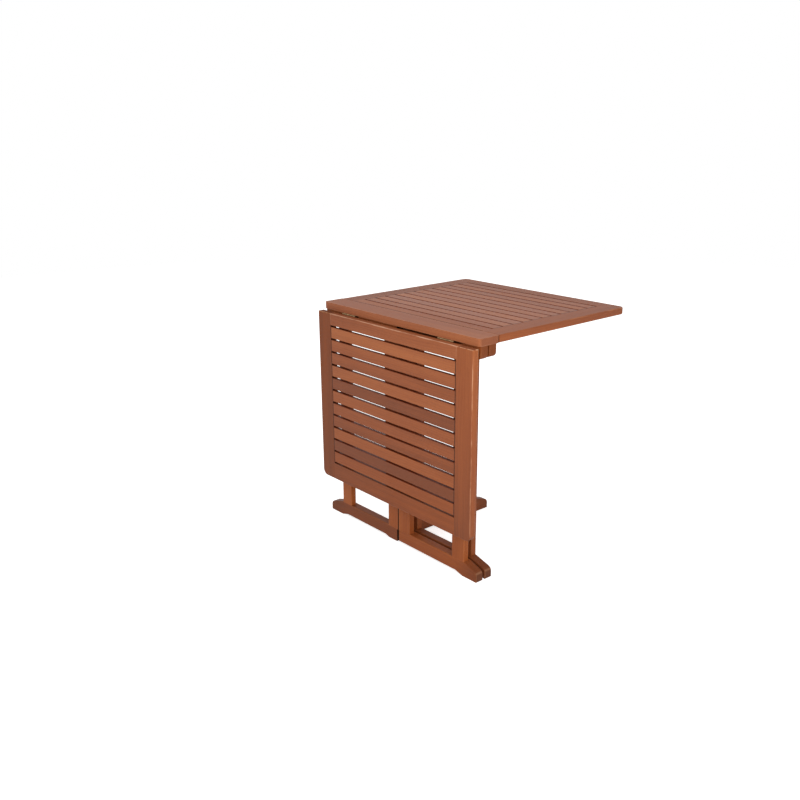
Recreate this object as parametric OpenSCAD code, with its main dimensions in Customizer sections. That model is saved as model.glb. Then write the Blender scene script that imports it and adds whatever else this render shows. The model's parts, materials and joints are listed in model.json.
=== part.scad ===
// Gateleg garden table in slatted hardwood.
// A narrow centre board stands on two frames set side by side in two layers.
// A drop leaf hangs from each long edge of the board on brass hinges, and a gate
// hinged to each frame swings out under its leaf to hold it level.
// At rest the front leaf hangs with its gate folded in, and the rear leaf is up
// on its gate. X runs along the hinge lines, Y to the back, Z up; the floor is z = 0.

/* [Overall] */
// Height of the table top above the floor
table_h = 724; // [660:1:780]
// Length of the top along the hinge lines
table_w = 698; // [640:2:900]

/* [Top] */
// Width of the fixed centre board
board_w = 72; // [68:1:90]
// Thickness of the board and of the leaf frames
top_t = 22; // [20:1:28]
// Corner radius of the centre board, seen from above
board_corner_r = 10; // [4:1:20]
// Gap between the board and a raised leaf
leaf_joint = 2; // [1:0.5:4]

/* [Leaves] */
// Reach of a leaf from its hinge edge to its outer edge
leaf_l = 560; // [470:2:620]
// Width of the two end stiles of a leaf
stile_w = 65; // [40:1:80]
// Width of the rail that carries the hinges
inner_rail_w = 38; // [36:1:60]
// Width of the rail along the outer edge
outer_rail_w = 56.5; // [40:0.5:80]
// Radius of the two outer corners of a leaf
leaf_corner_r = 20; // [5:1:30]
// Number of slats in a leaf
slat_count = 11; // [6:1:11]
// Open gap beside each slat
slat_gap = 6; // [3:0.5:8]
// Thickness of a slat, flush with the top face
slat_t = 11; // [8:0.5:14]
// Width of the batten under the middle of the slats
batten_w = 66; // [60:2:100]

/* [Joinery] */
// Length of the tenons on slats
slat_tenon_l = 14; // [8:1:20]
// Thickness of the tenons on slats
slat_tenon_t = 5; // [3:0.5:6]
// Length of the tenons on leaf rails
rail_tenon_l = 30; // [15:1:36]
// Length of the tenons on the uprights
upright_tenon_l = 15; // [8:1:18]
// Thickness of the tenons on rails and uprights
tenon_t = 8; // [6:0.5:9]
// Shoulder left at each edge of a tenon
tenon_shoulder = 5; // [3:0.5:8]
// Room round a tenon in its mortise
tenon_clear = 0.1; // [0.05:0.05:0.3]

/* [Frames and gates] */
// Thickness of the rails and feet of the frames and gates
rail_t = 27; // [24:0.5:32]
// Air between the front and the rear layer of frames
layer_gap = 9; // [6:0.5:12]
// Distance from the middle of the table to the tip of each foot
foot_reach = 348; // [325:1:420]
// Distance from the middle to the end of a fixed top rail
top_rail_reach = 345; // [320:1:400]
// Height of the bottom rails
bottom_rail_h = 40; // [34:1:50]
// Height of the top rails
top_rail_h = 38; // [30:1:44]
// How far the pads stand out from the rails
pad_h = 8; // [7.5:0.5:12]
// Length of the flat of a pad
pad_l = 58; // [40:1:70]
// Length of the ramp from a rail to its pad
pad_ramp_l = 30; // [15:1:32]
// Height of the tip of a foot
foot_nose_h = 30; // [24:1:36]
// Rounding on top of the tip of a foot
foot_nose_r = 16; // [4:1:18]
// Rounding under the end of a top rail
top_rail_end_r = 14; // [6:1:18]
// Length of the short pad under the inner end of a fixed frame
inner_pad_l = 42; // [30:1:60]
// Depth of that short pad, which stays clear of the floor
inner_pad_h = 5; // [3:0.5:7]
// Thickness of the uprights, flush with the outer face of the rails
upright_t = 19; // [16:0.5:23]
// Width of the uprights of a fixed frame
frame_upright_w = 46; // [36:1:56]
// Width of the uprights of a gate
gate_upright_w = 51; // [40:1:60]
// Foot left beyond the outer upright of a fixed frame
frame_foot_l = 65; // [50:1:80]
// Foot left beyond the outer upright of a gate
gate_foot_l = 52; // [40:1:70]
// Seam between a gate and its fixed frame
gate_seam = 3; // [2.8:0.1:5]
// Distance of the seam from the middle of the table, towards the gate
seam_shift = 3.5; // [0:0.5:10]
// Setback of a fixed foot rail from the face of its inner upright
foot_setback = 5; // [0:0.5:8]
// Clearance between a gate's top pad and the raised leaf
gate_rest_clear = 0.3; // [0.1:0.1:1]

/* [Hinges] */
// Radius of the hinge knuckles
knuckle_r = 3; // [2.6:0.1:3.2]
// Radius of the hinge pins
hinge_pin_r = 1.5; // [1.2:0.1:1.8]
// Running clearance round a hinge pin
pin_clear = 0.05; // [0.02:0.01:0.1]
// Gap between neighbouring knuckles, and from a knuckle to the other plate
knuckle_gap = 0.4; // [0.3:0.1:0.8]
// Length of the hinges of the leaves
leaf_hinge_l = 64; // [50:1:80]
// Distance of the leaf hinges from the middle of the table
leaf_hinge_x = 219; // [180:1:225]
// Width of the plates of the leaf hinges
leaf_plate_w = 22; // [18:1:26]
// Thickness of the plates of the leaf hinges
leaf_plate_t = 1.5; // [1.2:0.1:2]
// Length of the hinges of the gates
gate_hinge_l = 60; // [40:1:80]
// Distance of the gate hinges from the ends of the uprights
gate_hinge_inset = 100; // [30:5:120]
// Thickness of the plates of the gate hinges
gate_plate_t = 1.2; // [1:0.1:1.3]
// Depth of the notch in a fixed top rail that clears a leaf hinge
hinge_notch_h = 6; // [4:0.5:8]
// Spare length of that notch at each end of the hinge
hinge_notch_spare = 7; // [3:1:12]
// Number of screws in each plate of a leaf hinge
plate_screws = 3; // [2:1:4]
// Radius of the screw shanks
screw_r = 1.6; // [1.2:0.1:2]
// Radius of the screw heads
screw_head_r = 3; // [2.5:0.1:3.4]
// Length of the screws
screw_l = 15; // [10:1:17]
// Room round a screw in its hole
screw_clear = 0.05; // [0.02:0.01:0.1]
// Room round a gate hinge's knuckles in the recess of an upright
recess_clear = 0.3; // [0.2:0.05:0.5]
// Wood left behind the plate of a gate hinge, at the inner face of its upright
gate_plate_margin = 2; // [1:0.5:6]

/* [Roundings] */
// Rounding where a rail runs into the ramp of its pad
ramp_r = 16; // [6:1:20]
// Rounding where the top of a foot starts to slope down
slope_r = 20; // [10:1:30]
// Rounding under the tip of a foot and at the end of a short pad
foot_edge_r = 3; // [1:0.5:5]

/* [Hidden] */
$fn = 48;
cut = 1;
corner_steps = 10;

// The top
top_under_z = table_h - top_t;
leaf_inner_w = table_w - 2 * stile_w;
slat_w = (leaf_l - inner_rail_w - outer_rail_w - (slat_count + 1) * slat_gap) / slat_count;
slat_pitch = slat_w + slat_gap;

// Hinge line of a leaf: in the middle of the joint, one knuckle under the board
hinge_y = board_w / 2 + leaf_joint / 2;
hinge_z = top_under_z - knuckle_r;
leaf_edge_y = board_w / 2 + leaf_joint;

// Heights of the frames
bottom_rail_top = pad_h + bottom_rail_h;
top_rail_bottom = top_under_z - top_rail_h;
gate_rail_top = top_under_z - pad_h;
gate_pad_top = top_under_z - gate_rest_clear;

// Layers: each frame lies between these distances from the middle plane
layer_in = layer_gap / 2;
layer_out = layer_in + rail_t;

// The gates' hinge line lies in the outer face of the frames, in the seam
seam_x = gate_seam / 2;
pivot_x = -seam_shift;
pivot_y = layer_out;

// Inner ends of a fixed frame, of its foot rail, and of a gate before it is mirrored
frame_in_x = seam_x - seam_shift;
foot_in_x = frame_in_x + foot_setback;
gate_in_x = seam_x + seam_shift;
gate_open_angle = 90;
gate_plate_w = upright_t - gate_plate_margin;

// The part's origin is under the middle of its overall box
front_reach = hinge_y + knuckle_r + top_t;
rear_reach = leaf_edge_y + leaf_l;
mid_y = (rear_reach - front_reach) / 2;

// Names of the nodes
function named(prefix, pieces) = [for (piece = pieces) str(prefix, "_", piece)];
leaf_pieces = concat(["left_stile", "right_stile", "inner_rail", "outer_rail", "batten"],
                     [for (k = [1 : slat_count]) str("slat_", k)]);
frame_pieces = ["top_rail", "foot_rail", "outer_upright", "inner_upright"];
gate_pieces = ["top_rail", "foot_rail", "outer_upright", "hinge_upright"];

// Colours: three tones of the same timber, the tone of each slat, and the brass
wood = [0.62, 0.36, 0.24];
wood_dark = [0.48, 0.27, 0.19];
wood_light = [0.70, 0.42, 0.27];
slat_tones = [wood, wood, wood, wood_light, wood_dark, wood_light, wood, wood, wood_light, wood_dark, wood];
brass = [0.78, 0.66, 0.40];

// A closed outline through a few points, each corner rounded to its own radius
function unit(v) = v / norm(v);
function on_circle(c, r, angle) = c + r * [cos(angle), sin(angle)];
function arc_points(before, corner, after, r) =
    let (u = unit(before - corner), v = unit(after - corner), half = acos(u * v) / 2)
    let (c = corner + unit(u + v) * r / sin(half), setback = r / tan(half))
    let (start = corner + u * setback - c, end = corner + v * setback - c)
    let (from = atan2(start.y, start.x))
    let (turn = atan2(start.x * end.y - start.y * end.x, start * end))
    [for (i = [0 : corner_steps]) on_circle(c, r, from + turn * i / corner_steps)];
function rounded(points, radii) =
    let (n = len(points))
    [for (i = [0 : n - 1]) each radii[i] > 0
        ? arc_points(points[(i + n - 1) % n], points[i], points[(i + 1) % n], radii[i])
        : [points[i]]];

// Places: the whole part over its origin, a front piece turned from a rear one,
// a leaf dropped about its hinge line and a gate swung about its own
module at_origin() translate([0, -mid_y, 0]) children();
module front() rotate([0, 0, 180]) children();
module dropped() translate([0, hinge_y, hinge_z]) rotate([-90, 0, 0])
    translate([0, -hinge_y, -hinge_z]) children();
module swung_out() translate([pivot_x, pivot_y, 0]) rotate([0, 0, -gate_open_angle])
    translate([-pivot_x, -pivot_y, 0]) children();

// A box given by its low and high corners
module block(low, high) translate(low) cube(high - low);

// A side outline in X and Z, drawn between two distances from the middle plane
module between_y(y0, y1) translate([0, y1, 0]) rotate([90, 0, 0]) linear_extrude(y1 - y0) children();

// Centre board
module centre_board() color(wood) difference() {
    translate([0, 0, top_under_z]) linear_extrude(top_t) polygon(rounded(
        [[-table_w / 2, -board_w / 2], [table_w / 2, -board_w / 2],
         [table_w / 2, board_w / 2], [-table_w / 2, board_w / 2]],
        [board_corner_r, board_corner_r, board_corner_r, board_corner_r]));
    board_screw_holes();
    front() board_screw_holes();
}

// Leaf, drawn raised on the rear side; side is -1 for its left and 1 for its right
rail_tenon_z = top_under_z + (top_t - tenon_t) / 2;
slat_tenon_z = table_h - slat_t / 2 - slat_tenon_t / 2;
inner_rail_y = leaf_edge_y + inner_rail_w;
outer_rail_y = leaf_edge_y + leaf_l - outer_rail_w;
function slat_y(k) = inner_rail_y + slat_gap + (k - 1) * slat_pitch;

module rail_tenon(side, y0, y1, room) {
    x0 = side > 0 ? leaf_inner_w / 2 - cut : -leaf_inner_w / 2 - rail_tenon_l - room;
    x1 = side > 0 ? leaf_inner_w / 2 + rail_tenon_l + room : -leaf_inner_w / 2 + cut;
    block([x0, y0 + tenon_shoulder - room, rail_tenon_z - room],
          [x1, y1 - tenon_shoulder + room, rail_tenon_z + tenon_t + room]);
}

module slat_tenon(side, k, room) {
    x0 = side > 0 ? leaf_inner_w / 2 - cut : -leaf_inner_w / 2 - slat_tenon_l - room;
    x1 = side > 0 ? leaf_inner_w / 2 + slat_tenon_l + room : -leaf_inner_w / 2 + cut;
    block([x0, slat_y(k) + tenon_shoulder - room, slat_tenon_z - room],
          [x1, slat_y(k) + slat_w - tenon_shoulder + room, slat_tenon_z + slat_tenon_t + room]);
}

module leaf_stile(side) color(wood) difference() {
    translate([0, 0, top_under_z]) linear_extrude(top_t) polygon(rounded(
        [[side * leaf_inner_w / 2, leaf_edge_y], [side * table_w / 2, leaf_edge_y],
         [side * table_w / 2, leaf_edge_y + leaf_l], [side * leaf_inner_w / 2, leaf_edge_y + leaf_l]],
        [0, 0, leaf_corner_r, 0]));
    rail_tenon(side, leaf_edge_y, inner_rail_y, tenon_clear);
    rail_tenon(side, outer_rail_y, outer_rail_y + outer_rail_w, tenon_clear);
    for (k = [1 : slat_count]) slat_tenon(side, k, tenon_clear);
}

module leaf_rail(y0, y1) {
    block([-leaf_inner_w / 2, y0, top_under_z], [leaf_inner_w / 2, y1, table_h]);
    for (side = [-1, 1]) rail_tenon(side, y0, y1, 0);
}

module leaf_inner_rail() color(wood) difference() {
    leaf_rail(leaf_edge_y, inner_rail_y);
    for (x = [-leaf_hinge_x, leaf_hinge_x]) translate([x, 0, 0]) leaf_screws(screw_clear);
}

module leaf_outer_rail() color(wood) leaf_rail(outer_rail_y, outer_rail_y + outer_rail_w);

module leaf_batten() color(wood_dark)
    block([-batten_w / 2, inner_rail_y, top_under_z],
          [batten_w / 2, outer_rail_y, table_h - slat_t]);

module leaf_slat(k) color(slat_tones[k - 1]) {
    block([-leaf_inner_w / 2, slat_y(k), table_h - slat_t],
          [leaf_inner_w / 2, slat_y(k) + slat_w, table_h]);
    for (side = [-1, 1]) slat_tenon(side, k, 0);
}

// Frames and gates, drawn on the rear side: a fixed frame to the right of the seam
// and a folded gate to its left, mirrored from the same outlines
foot_slope_x_frame = foot_reach - frame_foot_l;
foot_slope_x_gate = foot_reach - gate_foot_l;
pad_x = foot_reach - pad_l;
ramp_x = pad_x - pad_ramp_l;
inner_pad_x = foot_in_x + inner_pad_l;
inner_ramp_x = inner_pad_x + pad_ramp_l / 2;

// Foot outline from its inner end outwards; inner says how deep its inner pad is
module foot_outline(in_x, slope_x, inner) polygon(rounded(
    concat(inner > 0
        ? [[in_x, pad_h - inner], [inner_pad_x, pad_h - inner], [inner_ramp_x, pad_h]]
        : [[in_x, pad_h]],
        [[ramp_x, pad_h], [pad_x, 0], [foot_reach, 0], [foot_reach, foot_nose_h],
         [slope_x, bottom_rail_top], [in_x, bottom_rail_top]]),
    concat(inner > 0 ? [foot_edge_r, ramp_r, ramp_r] : [0],
        [ramp_r, ramp_r, foot_edge_r, foot_nose_r, slope_r, 0])));

// Top rail of a fixed frame: straight, with its lower end rounded
module frame_top_outline() polygon(rounded(
    [[frame_in_x, top_rail_bottom], [top_rail_reach, top_rail_bottom],
     [top_rail_reach, top_under_z], [frame_in_x, top_under_z]],
    [0, top_rail_end_r, 0, 0]));

// Top rail of a gate: lower, so that it passes under the hinges, with a pad at its end
module gate_top_outline() polygon(rounded(
    [[gate_in_x, top_rail_bottom], [foot_reach, top_rail_bottom], [foot_reach, gate_pad_top],
     [pad_x, gate_pad_top], [ramp_x, gate_rail_top], [gate_in_x, gate_rail_top]],
    [0, top_rail_end_r, 0, ramp_r, ramp_r, 0]));

// Tenons and mortises: a span is the [start, end] of the upright over that rail
module upright_tenon(span, z0, z1, room) {
    y0 = layer_out - upright_t / 2 - tenon_t / 2;
    block([span[0] + tenon_shoulder - room, y0 - room, z0],
          [span[1] - tenon_shoulder + room, y0 + tenon_t + room, z1]);
}

module foot_tenon(span, room)
    upright_tenon(span, bottom_rail_top - upright_tenon_l - room, bottom_rail_top + cut, room);
module top_tenon(span, room)
    upright_tenon(span, top_rail_bottom - cut, top_rail_bottom + upright_tenon_l + room, room);

// One upright between the rails, with a tenon into each
module upright(span, span_on_foot) {
    block([span[0], layer_out - upright_t, bottom_rail_top], [span[1], layer_out, top_rail_bottom]);
    foot_tenon(span_on_foot, 0);
    top_tenon(span, 0);
}

frame_outer_span = [foot_slope_x_frame - frame_upright_w, foot_slope_x_frame];
frame_inner_span = [frame_in_x, frame_in_x + frame_upright_w];
frame_inner_foot_span = [foot_in_x, frame_inner_span[1]];
gate_outer_span = [foot_slope_x_gate - gate_upright_w, foot_slope_x_gate];
gate_inner_span = [gate_in_x, gate_in_x + gate_upright_w];

module frame_foot_rail() color(wood) difference() {
    between_y(layer_in, layer_out) foot_outline(foot_in_x, foot_slope_x_frame, inner_pad_h);
    foot_tenon(frame_outer_span, tenon_clear);
    foot_tenon(frame_inner_foot_span, tenon_clear);
}

module frame_top_rail() color(wood) difference() {
    between_y(layer_in, layer_out) frame_top_outline();
    top_tenon(frame_outer_span, tenon_clear);
    top_tenon(frame_inner_span, tenon_clear);
    hinge_notch();
}

module frame_outer_upright() color(wood_light) upright(frame_outer_span, frame_outer_span);

module frame_inner_upright() color(wood_light) difference() {
    upright(frame_inner_span, frame_inner_foot_span);
    knuckle_recess();
}

module gate_foot_rail() color(wood) folded() difference() {
    between_y(layer_in, layer_out) foot_outline(gate_in_x, foot_slope_x_gate, 0);
    foot_tenon(gate_outer_span, tenon_clear);
    foot_tenon(gate_inner_span, tenon_clear);
}

module gate_top_rail() color(wood) folded() difference() {
    between_y(layer_in, layer_out) gate_top_outline();
    top_tenon(gate_outer_span, tenon_clear);
    top_tenon(gate_inner_span, tenon_clear);
}

module gate_outer_upright() color(wood_light) folded() upright(gate_outer_span, gate_outer_span);

module gate_hinge_upright() color(wood_light) difference() {
    folded() upright(gate_inner_span, gate_inner_span);
    knuckle_recess();
}

// A gate is drawn towards +X like the fixed frame and mirrored to its own side
module folded() mirror([1, 0, 0]) children();

// Room in a fixed top rail for the leaf hinge above it
module hinge_notch() {
    half_l = leaf_hinge_l / 2 + hinge_notch_spare;
    block([leaf_hinge_x - half_l, hinge_y - leaf_plate_w - cut, top_under_z - hinge_notch_h],
          [leaf_hinge_x + half_l, layer_out + cut, top_under_z + cut]);
}

// Knuckles along one hinge, each [start, length]: one to each side for the fixed plate,
// and the middle one for the moving plate
function fixed_knuckles(l) =
    let (outer_l = l / 3 - knuckle_gap / 2)
    [[0, outer_l], [l - outer_l, outer_l]];
function moving_knuckles(l) = [[l / 3 + knuckle_gap / 2, l / 3 - knuckle_gap]];

// A hinge half along X with its pin on the X axis, and its plate in +Y just under z = knuckle_r
module hinge_half(l, plate_w, plate_t, knuckles) difference() {
    union() {
        block([0, knuckle_r + knuckle_gap, knuckle_r - plate_t], [l, plate_w, knuckle_r]);
        for (k = knuckles) {
            translate([k[0], 0, 0]) rotate([0, 90, 0]) cylinder(r = knuckle_r, h = k[1]);
            block([k[0], 0, knuckle_r - plate_t],
                  [k[0] + k[1], knuckle_r + knuckle_gap + cut, knuckle_r]);
        }
    }
    translate([-cut, 0, 0]) rotate([0, 90, 0])
        cylinder(r = hinge_pin_r + pin_clear, h = l + 2 * cut);
}

// Countersunk screws of one leaf hinge plate, pointing up from under the plate
screw_y = (knuckle_r + knuckle_gap + leaf_plate_w) / 2;
screw_pitch = leaf_hinge_l / plate_screws;
module plate_screw_row(room) for (i = [0 : plate_screws - 1])
    translate([screw_pitch * (i + 0.5) - leaf_hinge_l / 2, screw_y, knuckle_r - leaf_plate_t]) {
        cylinder(r1 = screw_head_r + room, r2 = screw_r + room, h = leaf_plate_t);
        cylinder(r = screw_r + room, h = screw_l + room);
    }

module leaf_plate(knuckles) difference() {
    translate([-leaf_hinge_l / 2, 0, 0])
        hinge_half(leaf_hinge_l, leaf_plate_w, leaf_plate_t, knuckles);
    plate_screw_row(screw_clear);
}

// On the hinge line: the board's plate points inwards and the leaf's plate outwards
module on_hinge_line(x) translate([x, hinge_y, hinge_z]) children();
module towards_board() mirror([0, 1, 0]) children();
module board_screw_holes() for (x = [-leaf_hinge_x, leaf_hinge_x])
    on_hinge_line(x) towards_board() plate_screw_row(screw_clear);
module leaf_screws(room) translate([0, hinge_y, hinge_z]) plate_screw_row(room);

module board_plates_rear() for (x = [-leaf_hinge_x, leaf_hinge_x])
    on_hinge_line(x) towards_board() leaf_plate(fixed_knuckles(leaf_hinge_l));
module board_screws_rear() for (x = [-leaf_hinge_x, leaf_hinge_x])
    on_hinge_line(x) towards_board() plate_screw_row(0);

module leaf_hinge_board_plates() color(brass) {
    board_plates_rear();
    front() board_plates_rear();
}

module board_hinge_screws() color(brass) {
    board_screws_rear();
    front() board_screws_rear();
}

module leaf_hinge_plates() color(brass) for (x = [-leaf_hinge_x, leaf_hinge_x])
    on_hinge_line(x) leaf_plate(moving_knuckles(leaf_hinge_l));

module leaf_hinge_screws() color(brass) for (x = [-leaf_hinge_x, leaf_hinge_x])
    on_hinge_line(x) plate_screw_row(0);

// Gate hinges stand in the seam, at these heights, with their pins in the outer face
gate_hinge_z = [bottom_rail_top + gate_hinge_inset, top_rail_bottom - gate_hinge_inset - gate_hinge_l];

module knuckle_recess() for (z = gate_hinge_z) translate([pivot_x, pivot_y, z - recess_clear])
    cylinder(r = knuckle_r + recess_clear, h = gate_hinge_l + 2 * recess_clear);

// One half of a gate hinge: a plate against the end of an upright, side -1 or 1, and its knuckles
module gate_hinge_half(side, knuckles) difference() {
    union() {
        for (k = knuckles) translate([0, pivot_y, k[0]]) cylinder(r = knuckle_r, h = k[1]);
        gate_plate(side, 0, gate_hinge_l, knuckle_r + recess_clear);
        for (k = knuckles) gate_plate(side, k[0], k[1], 0);
    }
    translate([0, pivot_y, -cut])
        cylinder(r = hinge_pin_r + pin_clear, h = gate_hinge_l + 2 * cut);
}

module gate_plate(side, z, l, from_pin)
    block([side > 0 ? seam_x - gate_plate_t : -seam_x, pivot_y - gate_plate_w, z],
          [side > 0 ? seam_x : gate_plate_t - seam_x, pivot_y - from_pin, z + l]);

module gate_hinge_frame_half() for (z = gate_hinge_z) translate([pivot_x, 0, z])
    gate_hinge_half(1, fixed_knuckles(gate_hinge_l));
module gate_hinge_plates() color(brass) for (z = gate_hinge_z) translate([pivot_x, 0, z])
    gate_hinge_half(-1, moving_knuckles(gate_hinge_l));

module gate_hinge_frame_plates() color(brass) {
    gate_hinge_frame_half();
    front() gate_hinge_frame_half();
}

// Pins of all the hinges
module rear_pins() {
    for (x = [-leaf_hinge_x, leaf_hinge_x]) on_hinge_line(x - leaf_hinge_l / 2)
        rotate([0, 90, 0]) cylinder(r = hinge_pin_r, h = leaf_hinge_l);
    for (z = gate_hinge_z) translate([pivot_x, pivot_y, z])
        cylinder(r = hinge_pin_r, h = gate_hinge_l);
}

module hinge_pins() color(brass) {
    rear_pins();
    front() rear_pins();
}

// Where each leaf and gate stands at rest
module front_leaf() front() dropped() children();
module front_gate() front() children();
module rear_gate() swung_out() children();

at_origin() centre_board();

at_origin() front_leaf() leaf_stile(1);  // front_leaf_left_stile
at_origin() front_leaf() leaf_stile(-1);  // front_leaf_right_stile
at_origin() front_leaf() leaf_inner_rail();  // front_leaf_inner_rail
at_origin() front_leaf() leaf_outer_rail();  // front_leaf_outer_rail
at_origin() front_leaf() leaf_batten();  // front_leaf_batten
for (k = [1 : slat_count])
    at_origin() front_leaf() leaf_slat(k);

at_origin() leaf_stile(-1);  // rear_leaf_left_stile
at_origin() leaf_stile(1);  // rear_leaf_right_stile
at_origin() leaf_inner_rail();  // rear_leaf_inner_rail
at_origin() leaf_outer_rail();  // rear_leaf_outer_rail
at_origin() leaf_batten();  // rear_leaf_batten
for (k = [1 : slat_count])
    at_origin() leaf_slat(k);

at_origin() front() frame_top_rail();  // front_frame_top_rail
at_origin() front() frame_foot_rail();  // front_frame_foot_rail
at_origin() front() frame_outer_upright();  // front_frame_outer_upright
at_origin() front() frame_inner_upright();  // front_frame_inner_upright
at_origin() frame_top_rail();  // rear_frame_top_rail
at_origin() frame_foot_rail();  // rear_frame_foot_rail
at_origin() frame_outer_upright();  // rear_frame_outer_upright
at_origin() frame_inner_upright();  // rear_frame_inner_upright

at_origin() front_gate() gate_top_rail();  // front_gate_top_rail
at_origin() front_gate() gate_foot_rail();  // front_gate_foot_rail
at_origin() front_gate() gate_outer_upright();  // front_gate_outer_upright
at_origin() front_gate() gate_hinge_upright();  // front_gate_hinge_upright
at_origin() rear_gate() gate_top_rail();  // rear_gate_top_rail
at_origin() rear_gate() gate_foot_rail();  // rear_gate_foot_rail
at_origin() rear_gate() gate_outer_upright();  // rear_gate_outer_upright
at_origin() rear_gate() gate_hinge_upright();  // rear_gate_hinge_upright

at_origin() leaf_hinge_board_plates();
at_origin() front_leaf() leaf_hinge_plates();  // front_leaf_hinge_plates
at_origin() leaf_hinge_plates();  // rear_leaf_hinge_plates
at_origin() gate_hinge_frame_plates();
at_origin() front_gate() gate_hinge_plates();  // front_gate_hinge_plates
at_origin() rear_gate() gate_hinge_plates();  // rear_gate_hinge_plates
at_origin() hinge_pins();
at_origin() board_hinge_screws();
at_origin() front_leaf() leaf_hinge_screws();  // front_leaf_hinge_screws
at_origin() leaf_hinge_screws();  // rear_leaf_hinge_screws
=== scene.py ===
"""Looks of a gateleg garden table in slatted hardwood.

The table has a narrow centre board on two frames, a slatted leaf hinged to each long
edge of the board, and two gates that swing out under the leaves. Every timber here
takes its place and size from the solid that it stands for, and adds eased arrises,
grain that runs along the piece, its own tone, a little wear, and painted light and shade.
"""

import json
import math

import bmesh
import bpy
from bpy.props import FloatProperty, FloatVectorProperty, IntProperty, PointerProperty
from mathutils import Matrix, Vector


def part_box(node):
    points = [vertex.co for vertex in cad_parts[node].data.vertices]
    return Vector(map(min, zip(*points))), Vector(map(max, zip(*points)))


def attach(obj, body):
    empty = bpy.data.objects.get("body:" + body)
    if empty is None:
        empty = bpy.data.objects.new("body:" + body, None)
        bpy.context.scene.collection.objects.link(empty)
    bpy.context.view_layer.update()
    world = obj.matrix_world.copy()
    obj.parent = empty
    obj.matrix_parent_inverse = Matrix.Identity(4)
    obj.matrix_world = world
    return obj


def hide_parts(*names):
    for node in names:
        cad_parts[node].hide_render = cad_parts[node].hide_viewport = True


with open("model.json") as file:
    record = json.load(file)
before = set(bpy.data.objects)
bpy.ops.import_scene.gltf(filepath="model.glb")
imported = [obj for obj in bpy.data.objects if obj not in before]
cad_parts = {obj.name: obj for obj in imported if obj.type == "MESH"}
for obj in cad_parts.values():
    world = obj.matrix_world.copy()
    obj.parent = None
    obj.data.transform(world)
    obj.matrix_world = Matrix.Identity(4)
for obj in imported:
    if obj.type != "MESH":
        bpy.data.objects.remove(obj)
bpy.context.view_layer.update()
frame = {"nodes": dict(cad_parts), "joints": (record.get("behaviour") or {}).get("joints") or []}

bl_info = {
    "name": "Gateleg garden table",
    "version": (1, 0, 0),
    "blender": (4, 5, 0),
    "location": "3D View > Sidebar > Garden Table",
    "description": "Timbers, slats, hinges and studio of a drop-leaf garden table",
    "category": "Add Mesh",
}

X_AXIS = Vector((1, 0, 0))
Y_AXIS = Vector((0, 1, 0))
Z_AXIS = Vector((0, 0, 1))
CORNER_STEPS = 10
SHARP_ANGLE = math.radians(35)
SLAT_COUNT = 11

# Kinds of the named sockets that don't take a plain number
SOCKET_KINDS = {"Position": "Vector", "Half Size": "Vector", "Random Seed": "Int",
                "Material": "Material", "Geometry": "Geometry"}

# Metres within which a point counts as at a gate's seam, on a leaf's border, on the board's
# inner edge or on a face
SEAM_REACH = 0.010
BORDER = 0.005
INNER_EDGE = 0.002
ON_FACE = 0.0005

# Metres between a gate's pad and the raised leaf, round a hinge in its notch, and under the feet
GATE_REST_CLEAR = 0.0003
NOTCH_PLAY = 0.001
FLOOR_DROP = 0.0003

# Where the lamps point
LAMP_AIM = Vector((0, -0.2, 0.4))

# How far a rail or an upright runs into its neighbours, in widths of its easing
RAIL_LET_IN = 2
UPRIGHT_LET_IN = 1.4

# Shares of the easing beside a leaf's hinges and on the board beside the raised leaf
HINGE_EDGE_SHARE = 0.7
BOARD_INNER_SHARE = 0.25

# How far the painted highlight on a foot's tip is turned to the foot's end, on its rounding: 0 is along
# the grain, 1 across
NOSE_TURN = 0.84

# Paleness of the arrises, where 1 is fully pale: real wear anywhere, then painted highlights at the
# middle of a leaf's bare hinge edge, how much less that is at that edge's left end, and on the sides of
# a leaf
PLAIN_WEAR = 0.2
HINGE_EDGE_HIGHLIGHT = 1.3
HINGE_HIGHLIGHT_FADE = 0.4
LEAF_SIDE_HIGHLIGHT = 0.6

# Painted light added to the board's tone: at its right end, on its front face and on top
BOARD_RIGHT = 0.35
BOARD_FRONT = 0.35
BOARD_TOP = 0.1

# Painted light added to the tone of the front leaf's side faces, how tones fade along stiles, and
# painted light fading along front rails
FRONT_SIDE_FACE = 0.55
FRONT_STILE_FADE = 1.0
REAR_STILE_FADE = 0.5
FRONT_RAIL_FADE = 0.25

# Tone of each slat from the hinge outwards: -1 is the deepest brown, 1 the lightest orange
SLAT_TONES = {
    "front": (0.85, 0.15, -0.15, 0.5, -0.8, 0.15, -0.15, -0.4, 0.45, -1.0, 0.15),
    "rear": (0.3, 0.75, 0.15, 0.95, 0.2, 0.7, 0.1, 0.6, -0.05, 0.5, 0.0),
}

# How far each slat has crept towards the hinge, in metres; below 0 it has crept away. A random
# play is added to that.
SLAT_DRIFT = {
    "front": (0.0005, 0.00035, 0.0005, 0.00035, 0.0003, -0.0002,
              -0.0009, -0.0005, -0.0009, -0.0008, -0.0006),
    "rear": (0,) * SLAT_COUNT,
}
SLAT_PLAY = 0.0001
SLAT_SEED = 7

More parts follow.
